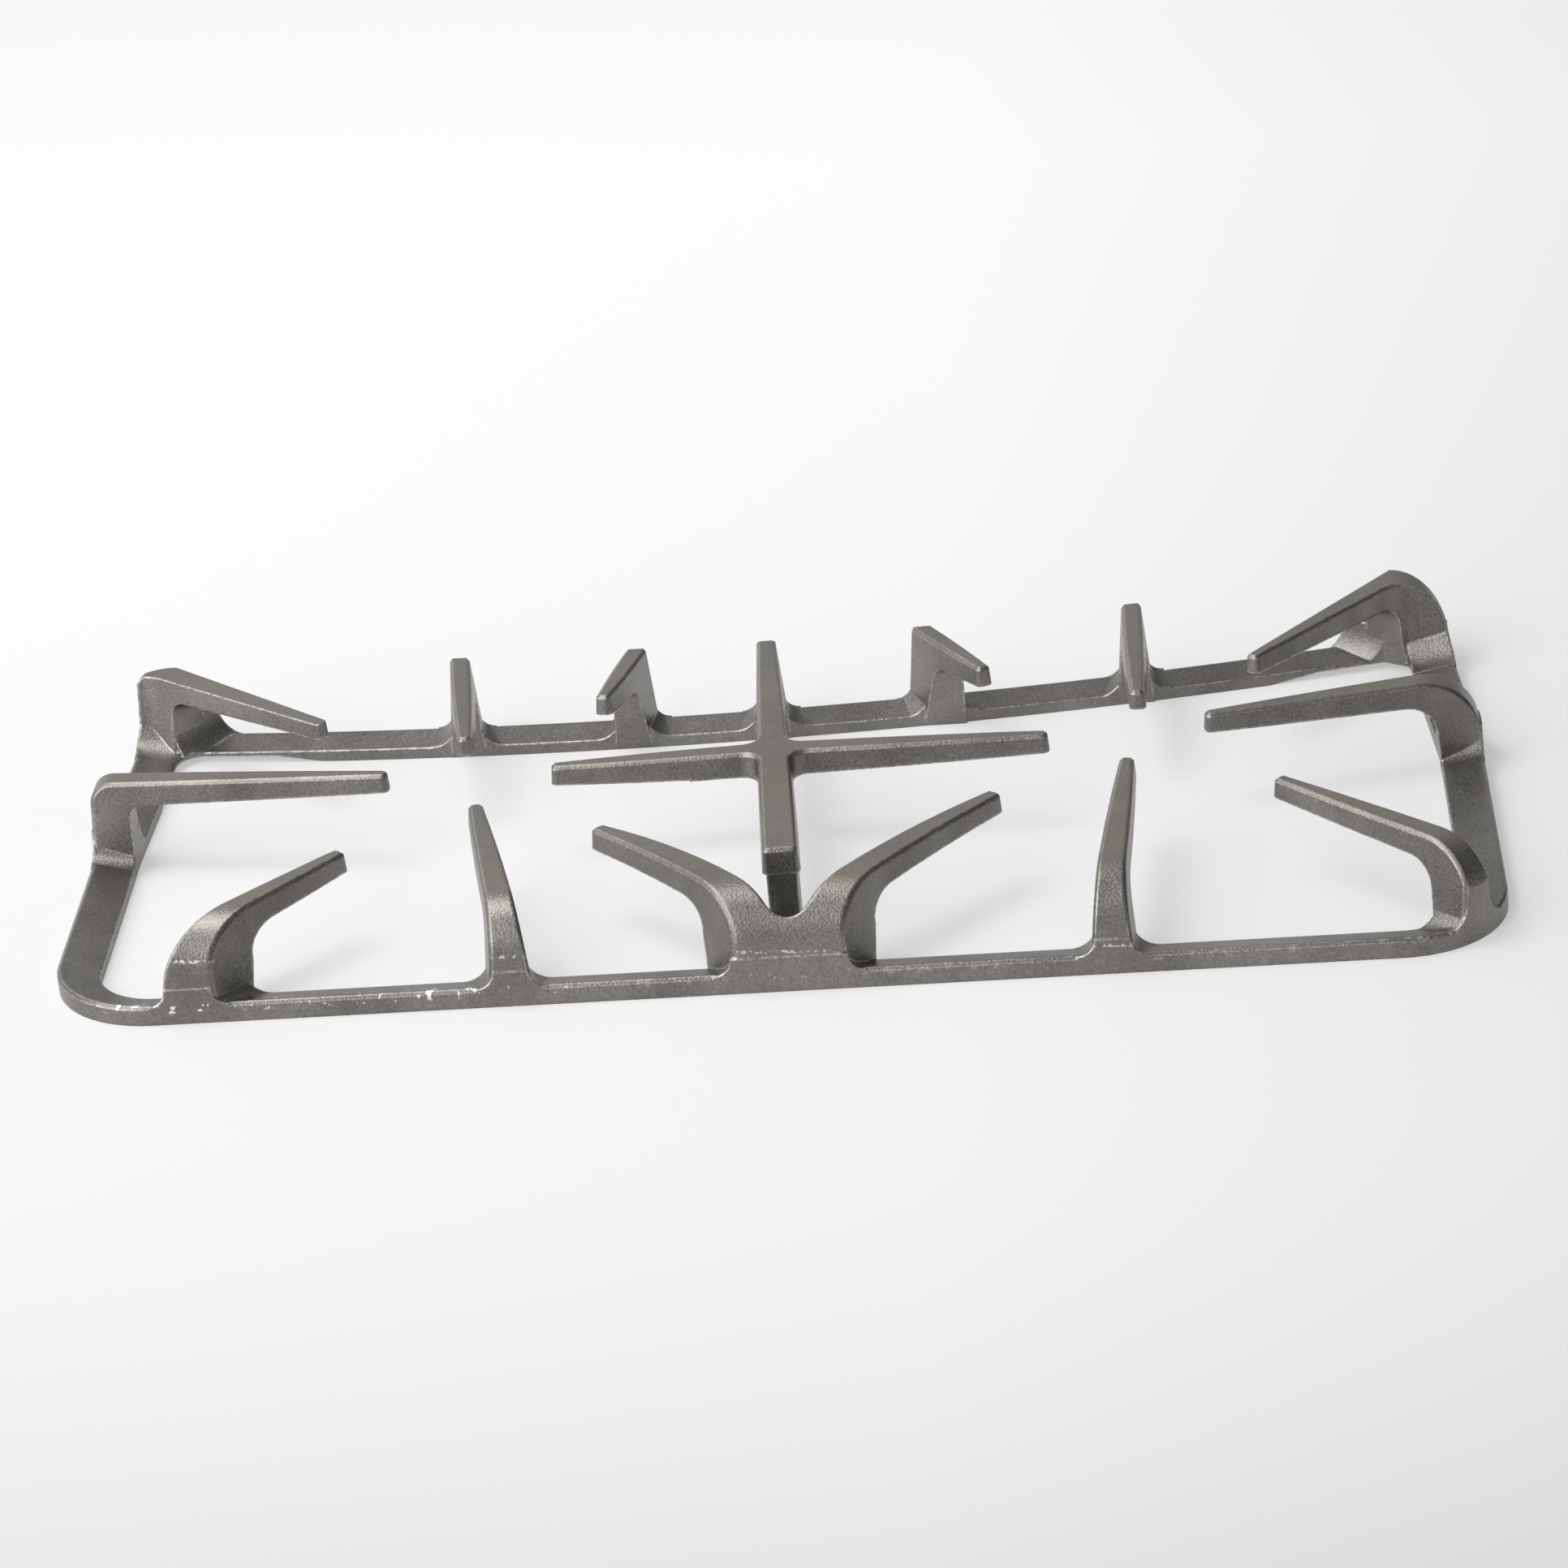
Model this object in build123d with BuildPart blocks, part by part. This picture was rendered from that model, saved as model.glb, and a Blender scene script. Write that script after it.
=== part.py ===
"""Cast-iron pan support for a two-burner hob, one casting. Millimetres, Z up, long side along X."""
import os
from math import cos, radians, sin, sqrt, tan

from build123d import *

# Ring that lies on the hob: the back rail bows in, and the sides run in behind the side fingers
ring_length = 478.0
depth_left = 218.6
depth_right = 244.8
back_bow = 23.4
back_left_tuck = 3.0
back_right_tuck = 6.0
front_corner_radius = 36.0
back_left_radius = 14.0
back_right_radius = 23.0
back_inner_radius = 9.0
long_rail_width = 11.5
side_rail_width = 14.5
rail_outer_height = 6.7
rail_inner_height = 4.0
rail_land = 1.6

# Relief under the two back corners of the ring
relief_height = 2.6
relief_length = 70.0
relief_depth = 56.0
relief_ramp = 18.0

# Section of the fingers: pans stand on their flat tops
pan_height = 33.5
arm_root_depth = 8.2
arm_tip_depth = 6.2
tip_width = 4.6
tip_corner_radius = 1.6
swell = 0.7
draft = 5.0
edge_break = 1.0
leg_lean = 3.0

# Feet of the fingers, spread onto the rails: radius at the outer and the inner face of the rail
flare_radius = 5.8
inner_flare_radius = 9.0
side_flare_radius = 9.0
corner_flare_radius = 12.0
flare_bite = 0.4

# Widths of the fingers at pan height, over the ring
front_root_width = 8.6
side_root_width = 9.2
post_root_width = 6.2

# Legs, measured inward from the outer face of the ring, and their bends
front_leg = 15.0
front_bend = 19.0
front_inner_bend = 10.0
left_leg = 14.5
left_bend = 8.0
left_inner_bend = 5.0
right_leg = 15.5
right_bend = 22.0
right_inner_bend = 11.0
post_leg = 14.5
post_inner_bend = 8.0
corner_inner_bend = 6.0

# Burner centres, seen from above
left_burner_x = -105.5
left_burner_y = 112.0
right_burner_x = 118.5
right_burner_y = 120.0

# Fingers on the front rail: place of the foot along the rail, reach and bearing of the tip from its burner
front_left_foot = -190.4
front_left_reach = 68.9
front_left_bearing = 236.5
left_front_foot = -84.6
left_front_reach = 27.3
left_front_bearing = 278.8
right_front_foot = 110.0
right_front_reach = 27.0
right_front_bearing = 268.1

# Finger on the front right corner: bearing of the foot on the corner
front_right_foot = -45.5
front_right_depth = 13.0
front_right_reach = 69.0
front_right_bearing = -45.3

# Fingers on the side rails
left_foot = 123.0
left_reach = 28.9
left_bearing = 176.0
right_foot = 147.0
right_reach = 26.7
right_bearing = 10.1

# Fingers on the back rail
left_post = -117.7
left_post_reach = 26.6
left_post_bearing = 99.3
left_diagonal_post = -54.5
left_diagonal_reach = 68.9
left_diagonal_bearing = 53.0
right_diagonal_post = 47.0
right_diagonal_reach = 72.2
right_diagonal_bearing = 132.8
right_post = 121.3
right_post_reach = 25.2
right_post_bearing = 82.0

# Fingers on the back corners: root in from the side and the back, leg, near edge of the leg, shoulder
back_left_inset = 9.9
back_left_setback = 4.8
back_left_width = 10.4
back_left_leg = 11.0
back_left_twist = 12.0
back_left_wing = 9.1
back_left_reach = 73.8
back_left_bearing = 139.4
back_left_bend = 8.0
back_right_inset = 14.6
back_right_setback = 7.9
back_right_width = 10.0
back_right_leg = 13.3
back_right_twist = 9.0
back_right_wing = 20.3
back_right_reach = 66.0
back_right_bearing = 48.9
back_right_bend = 19.0
wing_fillet = 12.0

# Fork on the front rail
fork_width = 35.0
fork_left_foot = -6.9
fork_left_width = 7.8
fork_left_reach = 68.4
fork_left_bearing = -46.9
fork_left_bow = 5.0
fork_left_swell = 2.1
fork_right_foot = 18.6
fork_right_width = 9.2
fork_right_reach = 65.9
fork_right_bearing = 227.1
fork_right_bow = 4.0
fork_right_swell = 1.2
fork_tip_width = 5.2
fork_run_out = 24.0
notch_radius = 9.0

# Cross between the burners
cross_post = -8.3
crossing_x = -4.0
crossing_y = 117.3
bar_tip_x = 3.2
bar_tip_y = 37.0
bar_width = 11.2
cross_left_x = -77.5
cross_left_y = 112.5
cross_right_x = 91.0
cross_right_y = 116.0
cross_arm_width = 8.0
cross_depth = 9.0
cross_fillet = 6.0
cross_leg_thickness = 10.0
cross_leg_width = 10.2
cross_foot_height = 5.0

up = Vector(0, 0, 1)
right = Vector(1, 0, 0)
left = Vector(-1, 0, 0)
back = Vector(0, 1, 0)
front = Vector(0, -1, 0)
half_length = ring_length / 2
left_burner = Vector(left_burner_x, left_burner_y)
right_burner = Vector(right_burner_x, right_burner_y)
crossing = Vector(crossing_x, crossing_y)
bar_tip = Vector(bar_tip_x, bar_tip_y)
cross_left_tip = Vector(cross_left_x, cross_left_y)
cross_right_tip = Vector(cross_right_x, cross_right_y)

# Side views of the legs: thickness, bend outside and bend inside
front_side = (front_leg, front_bend, front_inner_bend)
left_side = (left_leg, left_bend, left_inner_bend)
right_side = (right_leg, right_bend, right_inner_bend)
post_side = (post_leg, 0.0, post_inner_bend)

# How far cutters and outlines run past the casting, and how far a face may turn before it counts as a side
margin = 12.0
side_turn = 0.3
rim_slope = 45.0

# Circle of the back rail's outer face
chord = Vector(ring_length, depth_right - depth_left)
bow_radius = (chord.length ** 2 / 4 + back_bow ** 2) / (2 * back_bow)
back_normal = Vector(-chord.Y, chord.X) / chord.length
back_centre = Vector(0, (depth_left + depth_right) / 2) + back_normal * (bow_radius - back_bow)


def back_face(x):
    """Point on the back rail's outer face at a given x."""
    return Vector(x, back_centre.Y - sqrt(bow_radius ** 2 - (x - back_centre.X) ** 2))


def around(centre, radius, bearing):
    """Point at a distance and bearing from a centre."""
    return centre + Vector(cos(radians(bearing)), sin(radians(bearing))) * radius


def ring_outline(inset_ends, inset_long, left_radius, right_radius):
    """Outline of the ring, moved in at its ends and at its long sides, with radii for its back corners."""
    x = half_length - inset_ends
    start = back_face(x - back_right_tuck) - back * inset_long
    end = back_face(back_left_tuck - x) - back * inset_long
    with BuildSketch() as outline:
        with BuildLine():
            Polyline(end, (-x, left_foot), (-x, inset_long), (x, inset_long), (x, right_foot), start)
            ThreePointArc(start, back_face(0) - back * inset_long, end)
        make_face()
        fillet(outline.vertices().group_by(Axis.Y)[0], front_corner_radius - inset_ends)
        fillet(outline.vertices().sort_by_distance(end)[0], left_radius)
        fillet(outline.vertices().sort_by_distance(start)[0], right_radius)
    return outline.sketch


def side_view(origin, inward):
    """Upright plane through a point: its x runs inward and its y up."""
    return Plane(origin=origin, x_dir=inward, z_dir=inward.cross(up))


def band(root, tip, root_width, end_width, bow=0.0, bulge=swell, run_out=margin):
    """Finger seen from above, run out past its root; its edges bulge a little, or bow to one side."""
    run = tip - root
    root_half = root_width / 2 + (root_width - end_width) / 2 * run_out / run.length
    half = end_width / 2
    with BuildSketch(Plane(origin=root, x_dir=run, z_dir=up)) as outline:
        with BuildLine():
            Line((-run_out, root_half), (-run_out, -root_half))
            SagittaArc((-run_out, -root_half), (run.length, -half), -bulge - bow)
            Line((run.length, -half), (run.length, half))
            SagittaArc((run.length, half), (-run_out, root_half), -bulge + bow)
        make_face()
        fillet(outline.vertices().sort_by(Axis.X)[-2:], tip_corner_radius)
    return outline.sketch


def profile(root, inward, reach, foot, leg, bend, inner_bend, overhang, tip_depth=arm_tip_depth):
    """Side view of a finger: leg, bend and arm, drawn with distance inward along x."""
    shoulder = pan_height - arm_root_depth
    knee = pan_height - bend
    lean = (knee - rail_outer_height) * tan(radians(leg_lean)) if bend else 0.0
    outer = -overhang
    with BuildSketch(side_view(root, inward)) as view:
        with BuildLine():
            Polyline(
                (leg, shoulder - inner_bend),
                (foot, 0),
                (outer, 0),
                (outer, rail_outer_height),
                (outer + lean, knee),
            )
            if bend:
                RadiusArc((outer + lean, knee), (outer + lean + bend, pan_height), bend)
            Polyline(
                (outer + lean + bend, pan_height),
                (reach, pan_height),
                (reach, pan_height - tip_depth),
                (leg + inner_bend, shoulder),
            )
            RadiusArc((leg + inner_bend, shoulder), (leg, shoulder - inner_bend), -inner_bend)
        make_face()
    return view.sketch


def rims(body, inward):
    """Edges round the top, bend and outer face of a finger."""
    across = inward.cross(up)
    skin = body.faces().filter_by(lambda face: face.normal_at().dot(up - inward) > side_turn)
    skin = skin.filter_by(lambda face: abs(face.normal_at().dot(across)) < side_turn)
    return skin.edges() & (body.faces() - skin).edges() - body.edges().group_by(Axis.Z)[0]


def finger(root, tip, inward, root_width, foot, side, overhang=0.0):
    """Leg that rises from the ring at root and bends into an arm that ends at tip."""
    reach = (tip - root).dot(inward) + margin
    view = profile(root, inward, reach, foot, *side, overhang)
    with BuildPart() as body:
        extrude(view, amount=half_length, both=True)
        with BuildSketch(Plane.XY.offset(pan_height)):
            add(band(root, tip, root_width, tip_width))
        extrude(amount=-pan_height, taper=-draft, mode=Mode.INTERSECT)
        if overhang:
            extrude(envelope, amount=pan_height, mode=Mode.INTERSECT)
        chamfer(rims(body, inward), edge_break)
    return body.part


def corner_outline(corner, root, tip, root_width, outward, wing):
    """Corner finger seen from above: its near edge turns outward a wing's width short of the corner."""
    run = root - tip
    aside = up.cross(run).normalized() * outward.X
    spread = aside * (root_width - tip_width) / 2
    near_tip = tip - aside * tip_width / 2
    far_tip = tip + aside * tip_width / 2
    near_run = run - spread
    far_run = run + spread
    near_y = corner.Y - wing
    far_y = corner.Y + margin
    outer_x = corner.X + outward.X * ring_length
    elbow = near_tip + near_run * ((near_y - near_tip.Y) / near_run.Y)
    far_end = far_tip + far_run * ((far_y - far_tip.Y) / far_run.Y)
    with BuildSketch() as outline:
        with BuildLine():
            Polyline(near_tip, elbow, (outer_x, near_y), (outer_x, far_y), far_end, far_tip, close=True)
        make_face()
        fillet(outline.vertices().sort_by_distance(elbow)[0], wing_fillet)
        fillet(outline.vertices().sort_by_distance(tip)[:2], tip_corner_radius)
    return outline.sketch


def corner_inward(root, tip, outward, twist):
    """Direction that the inner face of a corner finger's leg looks in."""
    return (tip - root).normalized().rotate(Axis.Z, outward.X * twist)


def corner_finger(corner, root, tip, root_width, outward, leg, twist, wing, bend):
    """Finger on a back corner: its leg reaches the side of the ring and its shoulder rounds off sideways."""
    inward = corner_inward(root, tip, outward, twist)
    reach = (tip - root).length + margin
    view = profile(root, inward, reach, leg, leg, 0.0, corner_inner_bend, overhang=half_length)
    knee = pan_height - bend
    rim = pan_height - edge_break
    plan = Plane.XY.offset(rim) * corner_outline(corner, root, tip, root_width, outward, wing)
    with BuildPart() as drafted:
        extrude(plan, amount=-rim, taper=-draft)
        extrude(plan, amount=edge_break, taper=rim_slope)
    with BuildPart() as body:
        extrude(view, amount=half_length, both=True)
        add(drafted.part, mode=Mode.INTERSECT)
        extrude(envelope, amount=pan_height, mode=Mode.INTERSECT)
        with BuildSketch(side_view(outward * abs(corner.X), -outward)):
            with BuildLine():
                Polyline((0, knee), (0, 0), (ring_length, 0), (ring_length, pan_height), (bend, pan_height))
                RadiusArc((0, knee), (bend, pan_height), bend)
            make_face()
        extrude(amount=ring_length, both=True, mode=Mode.INTERSECT)
    return body.part


def flare_half(root_width, radius):
    """Half width of a drafted finger at the top of its flare, less a small bite into the finger."""
    return root_width / 2 + (pan_height - rail_outer_height - radius) * tan(radians(draft)) - flare_bite


def flare_section(centre, inward, half, floor, radius):
    """Upright section through a flare: a concave arc on each side down to the rail."""
    foot = half + radius
    with BuildSketch(Plane(origin=centre, x_dir=up.cross(inward), z_dir=inward)) as section:
        with BuildLine():
            Line((half, floor + radius), (-half, floor + radius))
            RadiusArc((-half, floor + radius), (-foot, floor), radius)
            Polyline((-foot, floor), (-foot, 0), (foot, 0), (foot, floor))
            RadiusArc((foot, floor), (half, floor + radius), radius)
        make_face()
    return section.sketch


def flare(root, run, inward, half, rail_width, outer_radius, inner_radius):
    """Foot of a finger: spreads with concave arcs onto the sloped top of the rail, more at the inner face."""
    flow = run / run.dot(inward)
    slope = (rail_outer_height - rail_inner_height) / rail_width
    widening = (inner_radius - outer_radius) / rail_width
    inside = rail_width + margin
    steps = [(-margin, outer_radius), (0, outer_radius), (inside, outer_radius + widening * inside)]
    with BuildPart() as foot:
        for along, radius in steps:
            floor = rail_outer_height - slope * along
            add(flare_section(root + flow * along, inward, half * flow.length, floor, radius))
        loft(ruled=True)
    return foot.part


def corner_feet(corner, root, tip, root_width, outward, leg, twist, wing):
    """Feet of a corner finger, along the side rail and on the back rail; each ends inside the leg."""
    inward = corner_inward(root, tip, outward, twist)
    run = up.cross(inward) * outward.X
    aside = up.cross(root - tip).normalized() * outward.X
    behind = root - run * (back_face(root.X).Y - root.Y) / run.dot(front)
    half = flare_half(2 * wing, corner_flare_radius)
    radii = (corner_flare_radius, corner_flare_radius)
    with BuildPart() as side_foot:
        add(flare(corner, -outward, -outward, half, side_rail_width, *radii))
        split(bisect_by=Plane(origin=corner - outward * side_rail_width, z_dir=outward))
    with BuildPart() as back_foot:
        add(flare(behind, run, front, leg - flare_bite, long_rail_width, *radii))
        split(bisect_by=Plane(origin=root - aside * flare_half(root_width, corner_flare_radius), z_dir=aside))
    return [side_foot.part, back_foot.part]


def fork(left_tip, right_tip):
    """Two arms that leave the front rail from one broad leg, with a round notch between them."""
    reach = max(left_tip.Y, right_tip.Y) + margin
    left_root = right * fork_left_foot
    right_root = right * fork_right_foot
    view = profile(Vector(), back, reach, long_rail_width, *front_side, overhang=0.0)
    with BuildPart() as body:
        extrude(view, amount=half_length, both=True)
        with BuildSketch(Plane.XY.offset(pan_height)) as plan:
            left_arm = (left_root, left_tip, fork_left_width, fork_tip_width)
            right_arm = (right_root, right_tip, fork_right_width, fork_tip_width)
            add(band(*left_arm, bow=fork_left_bow, bulge=fork_left_swell, run_out=fork_run_out))
            add(band(*right_arm, bow=-fork_right_bow, bulge=fork_right_swell, run_out=fork_run_out))
            fillet(plan.vertices().sort_by_distance((left_root + right_root) / 2)[0], notch_radius)
        extrude(amount=-pan_height, taper=-draft, mode=Mode.INTERSECT)
        chamfer(rims(body, back), edge_break)
    return body.part


def cross(root):
    """Bar from the back rail to a leg behind the fork, with an arm towards each burner."""
    reach = root.Y - bar_tip.Y + margin
    left_reach = cross_left_tip.X - crossing.X - margin
    right_reach = cross_right_tip.X - crossing.X + margin
    view = profile(root, front, reach, long_rail_width, *post_side, overhang=margin, tip_depth=cross_depth)
    with BuildPart() as body:
        extrude(view, amount=abs(bar_tip.X - root.X) + bar_width, both=True)
        with BuildSketch(side_view(crossing, right)):
            with BuildLine():
                Polyline(
                    (left_reach, pan_height),
                    (left_reach, pan_height - arm_tip_depth),
                    (0, pan_height - cross_depth),
                    (right_reach, pan_height - arm_tip_depth),
                    (right_reach, pan_height),
                    close=True,
                )
            make_face()
        extrude(amount=cross_fillet + cross_arm_width, both=True)
        with BuildSketch(Plane.XY.offset(pan_height)) as plan:
            add(band(root, bar_tip, post_root_width, bar_width))
            add(band(crossing, cross_left_tip, cross_arm_width, tip_width, run_out=0))
            add(band(crossing, cross_right_tip, cross_arm_width, tip_width, run_out=0))
            fillet(plan.vertices().sort_by_distance(crossing)[:4], cross_fillet)
        extrude(amount=-pan_height, taper=-draft, mode=Mode.INTERSECT)
        extrude(envelope, amount=pan_height, mode=Mode.INTERSECT)
        chamfer(body.faces().sort_by(Axis.Z)[-1].edges(), edge_break)
    return body.part


def cross_leg():
    """Leg under the front end of the bar, with a low foot that runs on to the front rail."""
    back_of_leg = bar_tip.Y + cross_leg_thickness
    with BuildPart() as body:
        with BuildSketch(side_view(right * bar_tip.X, back)) as view:
            with BuildLine():
                Polyline(
                    (long_rail_width / 2, 0),
                    (back_of_leg, 0),
                    (back_of_leg, pan_height - cross_depth / 2),
                    (bar_tip.Y, pan_height - cross_depth / 2),
                    (bar_tip.Y, cross_foot_height),
                    (long_rail_width / 2, rail_inner_height),
                    close=True,
                )
            make_face()
            fillet(view.vertices().sort_by_distance((bar_tip.Y, cross_foot_height))[0], cross_fillet)
        extrude(amount=cross_leg_width / 2, both=True)
    return body.part


def relief_outline(outward, depth, ramp):
    """Rectangle over a back corner of the ring, kept back by the ramp on its two inner sides."""
    near = outward * (half_length - relief_length + ramp) + back * (depth - relief_depth + ramp)
    far = outward * (half_length + margin) + back * (depth + margin)
    with BuildSketch() as outline:
        with BuildLine():
            Polyline(near, (far.X, near.Y), far, (near.X, far.Y), close=True)
        make_face()
    return outline.sketch


def relief(outward, depth):
    """Hollow under a back corner that lifts the ring off the hob, with a ramp at each end."""
    with BuildPart() as body:
        add(relief_outline(outward, depth, 0.0))
        with BuildSketch(Plane.XY.offset(relief_height)):
            add(relief_outline(outward, depth, relief_ramp))
        loft(ruled=True)
    return body.part


envelope = ring_outline(0, 0, back_left_radius, back_right_radius)
opening = ring_outline(side_rail_width, long_rail_width, back_inner_radius, back_inner_radius)
ridge = ring_outline(rail_land, rail_land, back_left_radius - rail_land, back_right_radius - rail_land)

# Roots on the ring and tips by the burners: front rail, back rail, front right corner, sides, back corners
front_fingers = [
    (right * front_left_foot, around(left_burner, front_left_reach, front_left_bearing)),
    (right * left_front_foot, around(left_burner, left_front_reach, left_front_bearing)),
    (right * right_front_foot, around(right_burner, right_front_reach, right_front_bearing)),
]
back_fingers = [
    (back_face(left_post), around(left_burner, left_post_reach, left_post_bearing)),
    (back_face(left_diagonal_post), around(left_burner, left_diagonal_reach, left_diagonal_bearing)),
    (back_face(right_diagonal_post), around(right_burner, right_diagonal_reach, right_diagonal_bearing)),
    (back_face(right_post), around(right_burner, right_post_reach, right_post_bearing)),
]
front_right_centre = Vector(half_length - front_corner_radius, front_corner_radius)
front_right_root = around(front_right_centre, front_corner_radius, front_right_foot)
front_right_tip = around(right_burner, front_right_reach, front_right_bearing)
front_right_run = front_right_tip - front_right_root
left_root = Vector(-half_length, left_foot)
left_tip = around(left_burner, left_reach, left_bearing)
right_root = Vector(half_length, right_foot)
right_tip = around(right_burner, right_reach, right_bearing)
back_left_corner = Vector(back_left_tuck - half_length, depth_left)
back_left_root = back_left_corner + Vector(back_left_inset, -back_left_setback)
back_left_tip = around(left_burner, back_left_reach, back_left_bearing)
back_right_corner = Vector(half_length - back_right_tuck, depth_right)
back_right_root = back_right_corner - Vector(back_right_inset, back_right_setback)
back_right_tip = around(right_burner, back_right_reach, back_right_bearing)
fork_left_tip = around(left_burner, fork_left_reach, fork_left_bearing)
fork_right_tip = around(right_burner, fork_right_reach, fork_right_bearing)
cross_root = back_face(cross_post)

front_half = flare_half(front_root_width, flare_radius)
post_half = flare_half(post_root_width, flare_radius)
side_half = flare_half(side_root_width, side_flare_radius)
fork_half = flare_half(fork_width, flare_radius)
fork_middle = right * (fork_left_foot + fork_right_foot) / 2
front_right_inward = front_right_run.normalized()
long_rail = (long_rail_width, flare_radius, inner_flare_radius)
side_rail = (side_rail_width, side_flare_radius, side_flare_radius)
corner_rail = (front_right_depth, flare_radius, inner_flare_radius)
back_left = (
    back_left_corner,
    back_left_root,
    back_left_tip,
    back_left_width,
    left,
    back_left_leg,
    back_left_twist,
    back_left_wing,
)
back_right = (
    back_right_corner,
    back_right_root,
    back_right_tip,
    back_right_width,
    right,
    back_right_leg,
    back_right_twist,
    back_right_wing,
)

with BuildPart() as feet:
    for root, tip in front_fingers:
        add(flare(root, tip - root, back, front_half, *long_rail))
    for root, tip in back_fingers + [(cross_root, bar_tip)]:
        add(flare(root, tip - root, front, post_half, *long_rail))
    add(flare(fork_middle, back, back, fork_half, *long_rail))
    add(flare(left_root, right, right, side_half, *side_rail))
    add(flare(right_root, left, left, side_half, *side_rail))
    add(flare(front_right_root, front_right_run, front_right_inward, front_half, *corner_rail))
    add(corner_feet(*back_left))
    add(corner_feet(*back_right))
    extrude(envelope, amount=pan_height, mode=Mode.INTERSECT)
    extrude(opening, amount=pan_height, mode=Mode.SUBTRACT)

with BuildPart() as ring:
    add(envelope)
    extrude(amount=rail_outer_height)
    add(opening)
    extrude(amount=rail_inner_height, mode=Mode.SUBTRACT)
    with BuildSketch(Plane.XY.offset(rail_inner_height)):
        add(opening)
    with BuildSketch(Plane.XY.offset(rail_outer_height)):
        add(ridge)
    loft(ruled=True, mode=Mode.SUBTRACT)
    top_edges = ring.faces().sort_by(Axis.Z)[-1].outer_wire().edges()
    chamfer(top_edges, edge_break)
    add(feet.part)

fingers = [
    finger(left_root, left_tip, right, side_root_width, side_rail_width, left_side),
    finger(right_root, right_tip, left, side_root_width, side_rail_width, right_side),
    corner_finger(*back_left, back_left_bend),
    corner_finger(*back_right, back_right_bend),
    finger(
        front_right_root,
        front_right_tip,
        front_right_inward,
        front_root_width,
        front_right_depth,
        front_side,
        overhang=edge_break,
    ),
    fork(fork_left_tip, fork_right_tip),
    cross(cross_root),
    cross_leg(),
]
for root, tip in front_fingers:
    fingers += [finger(root, tip, back, front_root_width, long_rail_width, front_side)]
for root, tip in back_fingers:
    fingers += [finger(root, tip, front, post_root_width, long_rail_width, post_side, overhang=margin)]
reliefs = [relief(left, depth_left), relief(right, depth_right)]

with BuildPart() as casting:
    add(ring.part)
    add(fingers)
    add(reliefs, mode=Mode.SUBTRACT)

with BuildPart() as pan_support:
    with Locations(front * casting.part.bounding_box().center().Y):
        add(casting.part)

pan_support.part.label = "pan_support"
os.makedirs("parts", exist_ok=True)
export_step(pan_support.part, "parts/pan_support.step")
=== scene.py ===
"""Hob pan support on a plain pale floor, lit from above and from the front left."""
from math import cos, pi, radians, sin

import bpy
from mathutils import Matrix, Vector


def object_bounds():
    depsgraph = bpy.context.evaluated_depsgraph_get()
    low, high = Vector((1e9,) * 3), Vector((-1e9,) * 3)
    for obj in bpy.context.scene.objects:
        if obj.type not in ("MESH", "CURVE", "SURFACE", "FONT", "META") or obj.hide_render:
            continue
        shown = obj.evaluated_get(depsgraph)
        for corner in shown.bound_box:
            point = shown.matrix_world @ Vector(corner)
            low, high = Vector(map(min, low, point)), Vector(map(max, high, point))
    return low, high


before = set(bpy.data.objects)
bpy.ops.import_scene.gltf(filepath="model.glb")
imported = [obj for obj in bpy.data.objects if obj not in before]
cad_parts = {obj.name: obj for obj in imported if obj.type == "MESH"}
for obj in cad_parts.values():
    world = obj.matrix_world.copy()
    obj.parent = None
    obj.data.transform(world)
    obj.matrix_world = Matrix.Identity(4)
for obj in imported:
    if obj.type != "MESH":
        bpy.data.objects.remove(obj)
cad_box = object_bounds()

# Casting
# One piece of grey iron, poured in a sand mould and cleaned by shot blasting. It is raw metal with no enamel,
# so its finish is all in the surface: peened grain with painted glints, edges painted bright (partly wear,
# partly painted highlight), tops painted paler (partly rubbed, partly painted light from above), tan handling
# marks and a few chips.
MM = 0.001
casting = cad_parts["pan_support"]
underside, pan_plane = cad_box[0].z, cad_box[1].z
front_face = cad_box[0].y


def linear(code):
    """Linear RGBA of an sRGB hex code."""
    parts = [int(code[i:i + 2], 16) / 255 for i in (1, 3, 5)]
    return [c / 12.92 if c <= 0.04045 else ((c + 0.055) / 1.055) ** 2.4 for c in parts] + [1.0]


def add_node(tree, kind, inputs, **settings):
    """A shader node with its settings; each input, by name or number, is a value or a socket to link from.

    A Map Range holds its ends, so one whose To Max is another's result multiplies the two. A colour Mix lays
    input 7 over input 6 and gives output 2.
    """
    node = tree.nodes.new("ShaderNode" + kind)
    for name, value in settings.items():
        setattr(node, name, value)
    for key, value in inputs.items():
        if isinstance(value, bpy.types.NodeSocket):
            tree.links.new(value, node.inputs[key])
        else:
            node.inputs[key].default_value = value
    return node


# Shot-blasted grey iron
# Shot leaves small round dents about half a millimetre wide that glint one by one. They are drawn a little
# wider, because finer ones don't show at the render's size.
grain_size = 0.75 * MM
fleck_size = 1.7 * MM
blotch_size = 28 * MM
grain_depth = 0.25 * MM
noise_low, noise_high = 0.3, 0.7

iron = bpy.data.materials.new("shot_blasted_grey_iron")
iron.use_nodes = True
tree = iron.node_tree
surface = tree.nodes["Principled BSDF"]
place = add_node(tree, "TexCoord", {}).outputs["Object"]
normal = add_node(tree, "NewGeometry", {}).outputs["Normal"]
at = add_node(tree, "SeparateXYZ", {"Vector": place}).outputs
facing = add_node(tree, "SeparateXYZ", {"Vector": normal}).outputs

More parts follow.
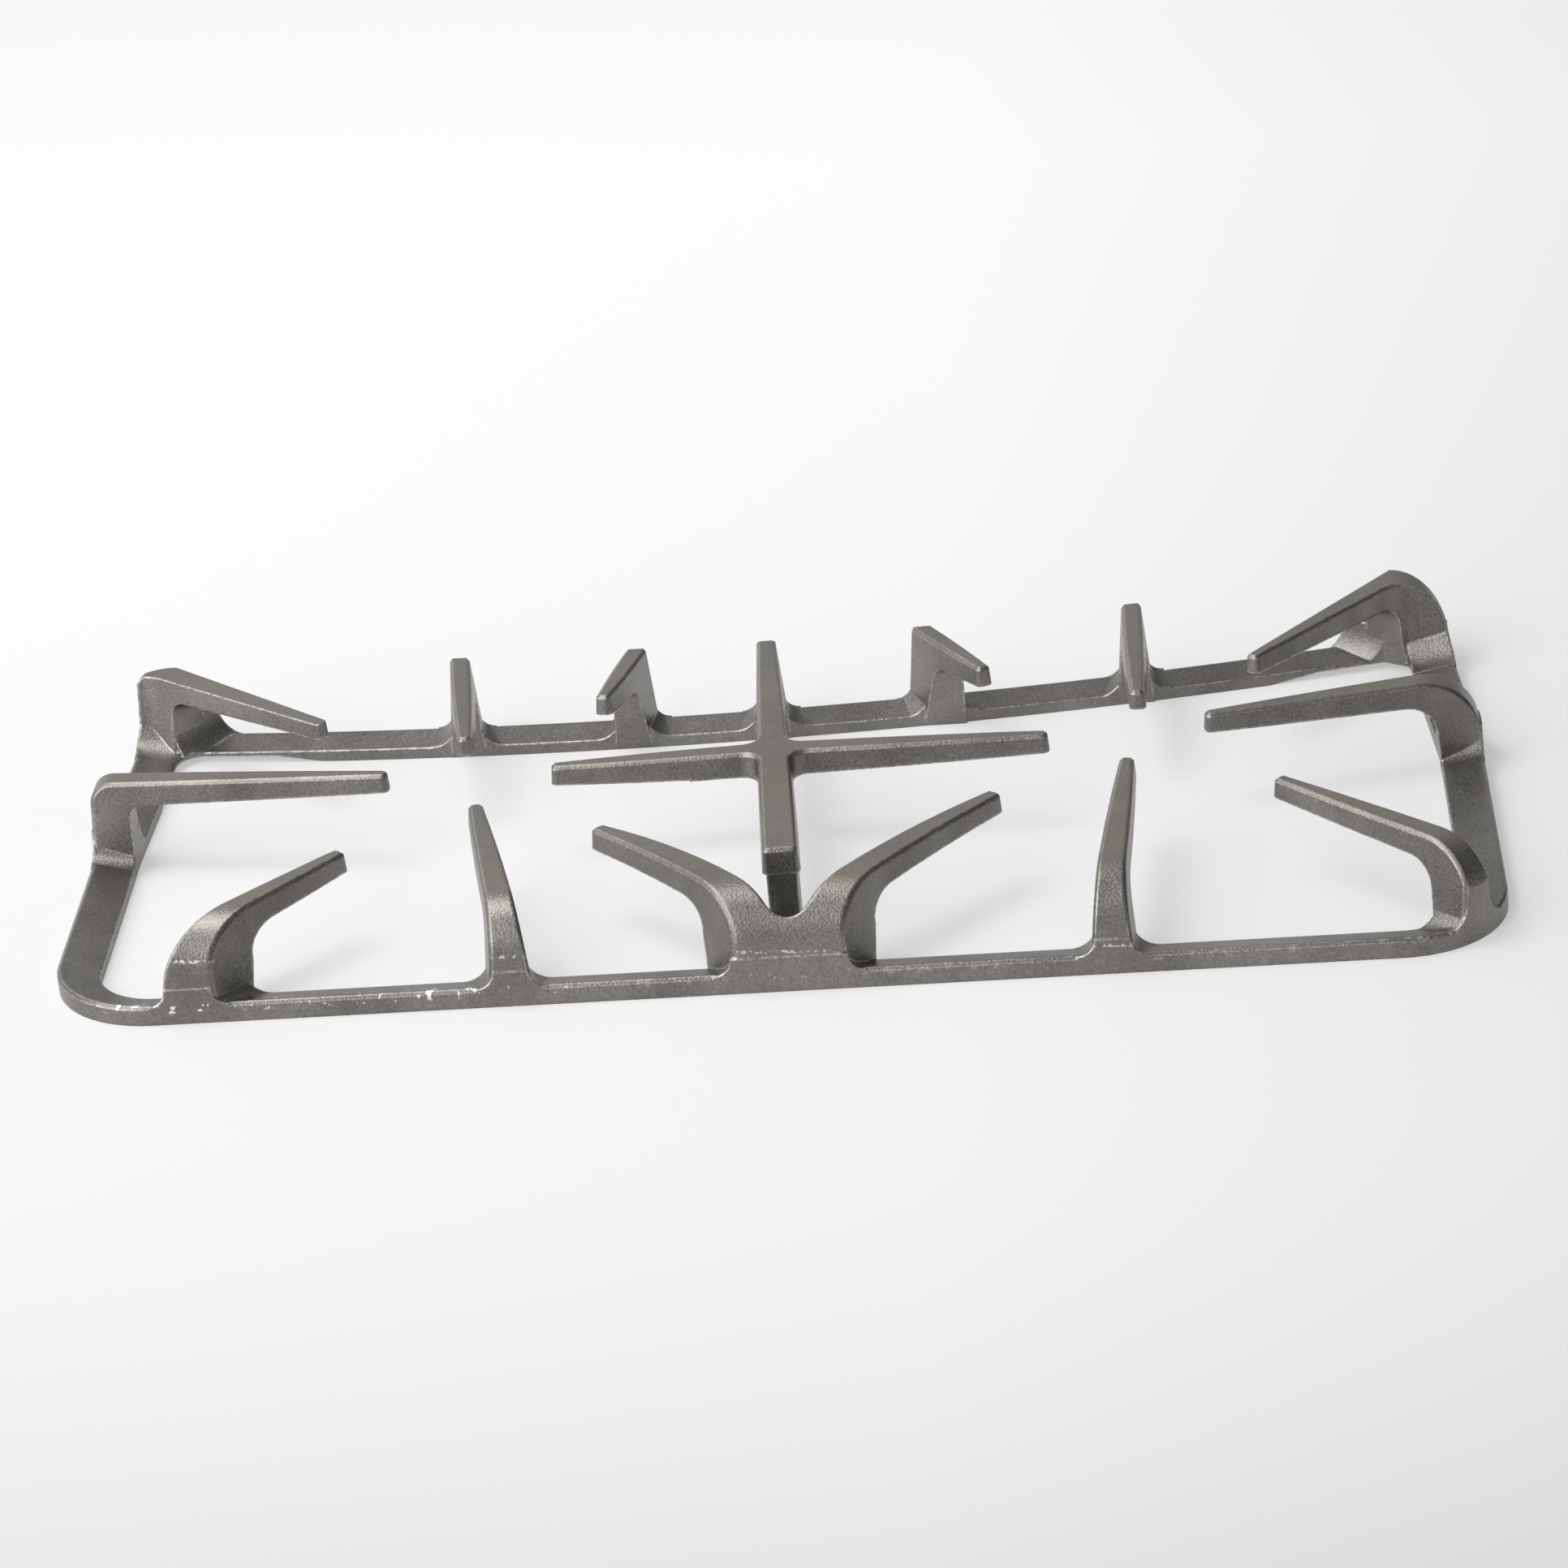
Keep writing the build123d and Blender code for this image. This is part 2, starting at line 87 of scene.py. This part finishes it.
grain_look = {"Vector": place, "Scale": 1 / grain_size, "Detail": 2.0, "Roughness": 0.6}
blotch_look = {"Vector": place, "Scale": 1 / blotch_size, "Detail": 3.0, "Roughness": 0.6}
fleck_look = {"Vector": place, "Scale": 1 / fleck_size, "Detail": 1.0}
grain = add_node(tree, "TexNoise", grain_look).outputs["Fac"]
blotch = add_node(tree, "TexNoise", blotch_look).outputs["Fac"]
fleck = add_node(tree, "TexNoise", fleck_look).outputs["Fac"]

# Dark and light iron in soft blotches, with the grain over them; the grain's brightest specks are painted
# glints
patches = {"Value": blotch, "From Min": noise_low, "From Max": noise_high}
patchy = add_node(tree, "MapRange", patches).outputs["Result"]
iron_colours = {"Factor": patchy, 6: linear("#716E6A"), 7: linear("#898682")}
body = add_node(tree, "Mix", iron_colours, data_type="RGBA").outputs[2]
# Real grain, with painted glints where the grain lifts the colour above the iron's own tone
grain_and_painted_glint_range = {"Value": grain, "From Min": noise_low, "From Max": noise_high, "To Min": 0.78, "To Max": 1.32}
grain_and_painted_glints = add_node(tree, "MapRange", grain_and_painted_glint_range).outputs["Result"]
grained_look = {"Factor": 1.0, 6: body, 7: grain_and_painted_glints}
grained = add_node(tree, "Mix", grained_look, data_type="RGBA", blend_type="MULTIPLY").outputs[2]

# Tops of the fingers painted paler than the sides, partly rubbed by the pans and partly painted light from
# above, with tan handling marks on them
stain_size = 19 * MM
rubbed_and_painted_light_share = 0.4
level_top = {"Value": facing["Z"], "From Min": 0.6, "From Max": 0.97, "To Max": rubbed_and_painted_light_share}
level = add_node(tree, "MapRange", level_top).outputs["Result"]
near_pan = {"Value": at["Z"], "From Min": pan_plane - 6 * MM, "From Max": pan_plane - 1 * MM, "To Max": level}
on_top = add_node(tree, "MapRange", near_pan).outputs["Result"]
# Paler colour on up-facing tops: part wear, part painted light from above
rubbed_and_top_lit_look = {"Factor": on_top, 6: grained, 7: linear("#9A958E")}
rubbed_and_top_lit = add_node(tree, "Mix", rubbed_and_top_lit_look, data_type="RGBA").outputs[2]
stain_look = {"Vector": place, "Scale": 1 / stain_size, "Detail": 4.0, "Roughness": 0.65}
stain = add_node(tree, "TexNoise", stain_look).outputs["Fac"]
marks = {"Value": stain, "From Min": 0.48, "From Max": 0.66, "To Max": on_top}
handled = add_node(tree, "MapRange", marks).outputs["Result"]
stained_look = {"Factor": handled, 6: rubbed_and_top_lit, 7: linear("#9C8C76")}
stained = add_node(tree, "Mix", stained_look, data_type="RGBA").outputs[2]

# Edges painted bright, partly wear and partly painted highlight on the rounded edges: where the rounded
# normal turns away from the face, and not in hollows
edge_width = 1.2 * MM
hollow_reach = 6 * MM
rounded = add_node(tree, "Bevel", {"Radius": edge_width}, samples=8).outputs["Normal"]
turned_by = add_node(tree, "VectorMath", {0: rounded, 1: normal}, operation="DOT_PRODUCT").outputs["Value"]
open_air = add_node(tree, "AmbientOcclusion", {"Distance": hollow_reach}, samples=8).outputs["AO"]
specks = {"Value": fleck, "From Min": 0.38, "From Max": 0.6, "To Min": 0.2, "To Max": 0.95}
speckled = add_node(tree, "MapRange", specks).outputs["Result"]
clear_of_hollows = {"Value": open_air, "From Min": 0.45, "From Max": 0.75, "To Max": speckled}
exposed = add_node(tree, "MapRange", clear_of_hollows).outputs["Result"]
at_edges = {"Value": turned_by, "From Min": 0.985, "From Max": 0.9, "To Max": exposed}
worn_and_highlit_edges = add_node(tree, "MapRange", at_edges).outputs["Result"]
# Near-white on the edges: part wear, part painted highlight
edge_wear_and_highlight_look = {"Factor": worn_and_highlit_edges, 6: stained, 7: linear("#D2CFCA")}
with_edge_wear_and_highlight = add_node(tree, "Mix", edge_wear_and_highlight_look, data_type="RGBA").outputs[2]

# Bright dashes where the two halves of the mould met: a level that drops from the left end to the right end
parting_middle = 14.4 * MM
parting_drop = 0.038
parting_half = 0.75 * MM
front_start, front_full = front_face + 6 * MM, front_face + 3 * MM
slope = {0: at["X"], 1: parting_drop, 2: at["Z"]}
sloped = add_node(tree, "Math", slope, operation="MULTIPLY_ADD").outputs[0]
off_level = add_node(tree, "Math", {0: sloped, 1: parting_middle}, operation="SUBTRACT").outputs[0]
distance = add_node(tree, "Math", {0: off_level}, operation="ABSOLUTE").outputs[0]
dash_breaks = {"Value": fleck, "From Min": 0.48, "From Max": 0.58, "To Max": 0.85}
dashes = add_node(tree, "MapRange", dash_breaks).outputs["Result"]
front_facing = {"Value": facing["Y"], "From Min": -0.5, "From Max": -0.8, "To Max": dashes}
forward = add_node(tree, "MapRange", front_facing).outputs["Result"]
front_legs = {"Value": at["Y"], "From Min": front_start, "From Max": front_full, "To Max": forward}
on_legs = add_node(tree, "MapRange", front_legs).outputs["Result"]
parting = {"Value": distance, "From Min": parting_half, "From Max": 0.3 * parting_half, "To Max": on_legs}
seam = add_node(tree, "MapRange", parting).outputs["Result"]
seamed_look = {"Factor": seam, 6: with_edge_wear_and_highlight, 7: linear("#D8D5CF")}
seamed = add_node(tree, "Mix", seamed_look, data_type="RGBA").outputs[2]

# Small chips along the front rail's upper edge, most of them at the left end
chip_size = 2.6 * MM
chip_look = {"Vector": place, "Scale": 1 / chip_size, "Detail": 2.0}
chips = add_node(tree, "TexNoise", chip_look).outputs["Fac"]
left_end = {"Value": at["X"], "From Min": -60 * MM, "From Max": -95 * MM, "To Min": 0.15}
leftmost = add_node(tree, "MapRange", left_end).outputs["Result"]
above_foot = {"Value": at["Z"], "From Min": 3.6 * MM, "From Max": 4.6 * MM, "To Max": leftmost}
above = add_node(tree, "MapRange", above_foot).outputs["Result"]
below_legs = {"Value": at["Z"], "From Min": 7.6 * MM, "From Max": 7.0 * MM, "To Max": above}
below = add_node(tree, "MapRange", below_legs).outputs["Result"]
front_rail = {"Value": at["Y"], "From Min": front_start, "From Max": front_full, "To Max": below}
on_rail = add_node(tree, "MapRange", front_rail).outputs["Result"]
chip_spots = {"Value": chips, "From Min": 0.62, "From Max": 0.65, "To Max": on_rail}
chipped = add_node(tree, "MapRange", chip_spots).outputs["Result"]
chipped_look = {"Factor": chipped, 6: seamed, 7: linear("#F2F1EE")}
colour = add_node(tree, "Mix", chipped_look, data_type="RGBA").outputs[2]
tree.links.new(colour, surface.inputs["Base Color"])

# Peened metal: the grain is in the gloss and in the dents too
gloss_range = {"Value": grain, "From Min": noise_low, "From Max": noise_high, "To Min": 0.26, "To Max": 0.44}
gloss = add_node(tree, "MapRange", gloss_range).outputs["Result"]
tree.links.new(gloss, surface.inputs["Roughness"])
surface.inputs["Metallic"].default_value = 0.85
dent_look = {"Strength": 0.6, "Distance": grain_depth, "Height": grain, "Normal": rounded}
dents = add_node(tree, "Bump", dent_look).outputs["Normal"]
tree.links.new(dents, surface.inputs["Normal"])

casting.data.materials.clear()
casting.data.materials.append(iron)

# Floor
# A sheet of white studio paper, laid flat and wide enough to fill every view. Part of its tone is a painted
# glow, which paints light into the shadows on it and keeps them pale. The light that bounces off it onto the
# casting is held down.
floor_half = 4.0
painted_glow_share = 0.5
floor_mesh = bpy.data.meshes.new("floor")
corners = [(-floor_half, -floor_half, 0), (floor_half, -floor_half, 0), (floor_half, floor_half, 0)]
corners += [(-floor_half, floor_half, 0)]
floor_mesh.from_pydata(corners, [], [(0, 1, 2, 3)])
floor = bpy.data.objects.new("floor", floor_mesh)
floor.location.z = underside
bpy.context.scene.collection.objects.link(floor)

paper = bpy.data.materials.new("matt_white_paper")
paper.use_nodes = True
tree = paper.node_tree
sheet = tree.nodes["Principled BSDF"]
sheet.inputs["Roughness"].default_value = 0.9
sheet.inputs["Specular IOR Level"].default_value = 0.0
paper_place = add_node(tree, "TexCoord", {}).outputs["Object"]
where = add_node(tree, "SeparateXYZ", {"Vector": paper_place}).outputs
ray = add_node(tree, "LightPath", {}).outputs
direct = {0: ray["Is Camera Ray"], 1: ray["Is Glossy Ray"]}
mirrored = add_node(tree, "Math", direct, operation="MAXIMUM").outputs[0]
seen = add_node(tree, "Math", {0: mirrored, 1: ray["Is Transmission Ray"]}, operation="MAXIMUM").outputs[0]

# Painted light falloff: paler towards the back, darker towards the front and the right
far_range = {"Value": where["Y"], "From Min": 0.05, "From Max": 0.7}
far = add_node(tree, "MapRange", far_range).outputs["Result"]
far_look = {"Factor": far, 6: linear("#F1F1F1"), 7: linear("#FFFFFF")}
far_tone = add_node(tree, "Mix", far_look, data_type="RGBA").outputs[2]
front_range = {"Value": where["Y"], "From Min": -0.2, "From Max": -0.6}
falloff = add_node(tree, "MapRange", front_range).outputs["Result"]
soft_falloff = add_node(tree, "Math", {0: falloff, 1: falloff}, operation="MULTIPLY").outputs[0]
front_look = {"Factor": soft_falloff, 6: far_tone, 7: linear("#D2D2D2")}
front_tone = add_node(tree, "Mix", front_look, data_type="RGBA").outputs[2]
right_range = {"Value": where["X"], "From Min": 0.05, "From Max": 0.35, "To Min": 1.0, "To Max": 0.9}
right_shade = add_node(tree, "MapRange", right_range).outputs["Result"]
painted_falloff_look = {"Factor": 1.0, 6: front_tone, 7: right_shade}
painted_falloff_tone = add_node(tree, "Mix", painted_falloff_look, data_type="RGBA", blend_type="MULTIPLY").outputs[2]

# Lit part and painted glowing part, which only a look at the paper or its reflection shows
lit_look = {"Factor": 1.0, 6: painted_falloff_tone, 7: [1 - painted_glow_share] * 3 + [1.0]}
lit = add_node(tree, "Mix", lit_look, data_type="RGBA", blend_type="MULTIPLY").outputs[2]
paper_look = {"Factor": seen, 6: linear("#8A8A8A"), 7: lit}
paper_colour = add_node(tree, "Mix", paper_look, data_type="RGBA").outputs[2]
painted_glow = add_node(tree, "Math", {0: seen, 1: painted_glow_share}, operation="MULTIPLY").outputs[0]
tree.links.new(paper_colour, sheet.inputs["Base Color"])
tree.links.new(painted_falloff_tone, sheet.inputs["Emission Color"])
tree.links.new(painted_glow, sheet.inputs["Emission Strength"])
floor_mesh.materials.append(paper)

# Light
# One square softbox hangs over the left end of the casting, and a broad window stands in front on the left.
# Pale walls give the rest, darker on the right. A share is the part of full white that each alone gives the
# floor, for the softbox straight under it.
softbox_left = 0.4
softbox_height = 1.0
softbox_side = 0.5
softbox_share = 0.42
softbox = bpy.data.lights.new("softbox", "AREA")
softbox.size = softbox_side
softbox.energy = softbox_share * pi * pi * softbox_height ** 2
lamp = bpy.data.objects.new("softbox", softbox)
lamp.location = (-softbox_left, 0, softbox_height)
bpy.context.scene.collection.objects.link(lamp)

window_side = Vector((-2.4, -2.1, 1.9))
window_share = 0.3
window_spread = radians(60.0)
window = bpy.data.lights.new("window", "SUN")
window.angle = window_spread
window.energy = window_share * pi / window_side.normalized().z
pane = bpy.data.objects.new("window", window)
pane.rotation_euler = (-window_side).to_track_quat("-Z", "Y").to_euler()
bpy.context.scene.collection.objects.link(pane)

walls_share = 0.8
world = bpy.data.worlds.new("pale_walls")
bpy.context.scene.world = world
world.use_nodes = True
tree = world.node_tree
walls = tree.nodes["Background"]
direction = add_node(tree, "TexCoord", {}).outputs["Generated"]
side = add_node(tree, "SeparateXYZ", {"Vector": direction}).outputs["X"]
dim_range = {"Value": side, "From Min": -0.5, "From Max": 0.7}
dim = add_node(tree, "MapRange", dim_range).outputs["Result"]
wall_look = {"Factor": dim, 6: linear("#FFFFFF"), 7: linear("#6A6A6A")}
wall_tone = add_node(tree, "Mix", wall_look, data_type="RGBA").outputs[2]
tree.links.new(wall_tone, walls.inputs["Color"])
walls.inputs["Strength"].default_value = walls_share

# Camera
# It stands in front, a little to the right, looks down at the casting and is tipped clockwise. Its place and
# lens were fitted to the ring's straight rails and to the plane that the pans stand on.
camera_aim = Vector((-0.0026, 0.0393, 0.0))
camera_distance = 1.9341
camera_azimuth = radians(4.325)
camera_elevation = radians(25.0)
camera_roll = radians(-5.081)
across = Vector((cos(camera_azimuth), sin(camera_azimuth), 0))
ahead = Vector((-sin(camera_azimuth) * cos(camera_elevation), cos(camera_azimuth) * cos(camera_elevation), 0))
ahead.z = -sin(camera_elevation)
upward = across.cross(ahead)
right = across * cos(camera_roll) + upward * sin(camera_roll)
turned = Matrix((right, right.cross(ahead), -ahead)).transposed()
camera = bpy.data.objects.new("camera", bpy.data.cameras.new("camera"))
camera.data.lens = 127.28
camera.data.sensor_width = 36.0
camera.matrix_world = Matrix.Translation(camera_aim - ahead * camera_distance) @ turned.to_4x4()
bpy.context.scene.collection.objects.link(camera)
bpy.context.scene.camera = camera
bpy.context.scene.view_settings.view_transform = "Standard"
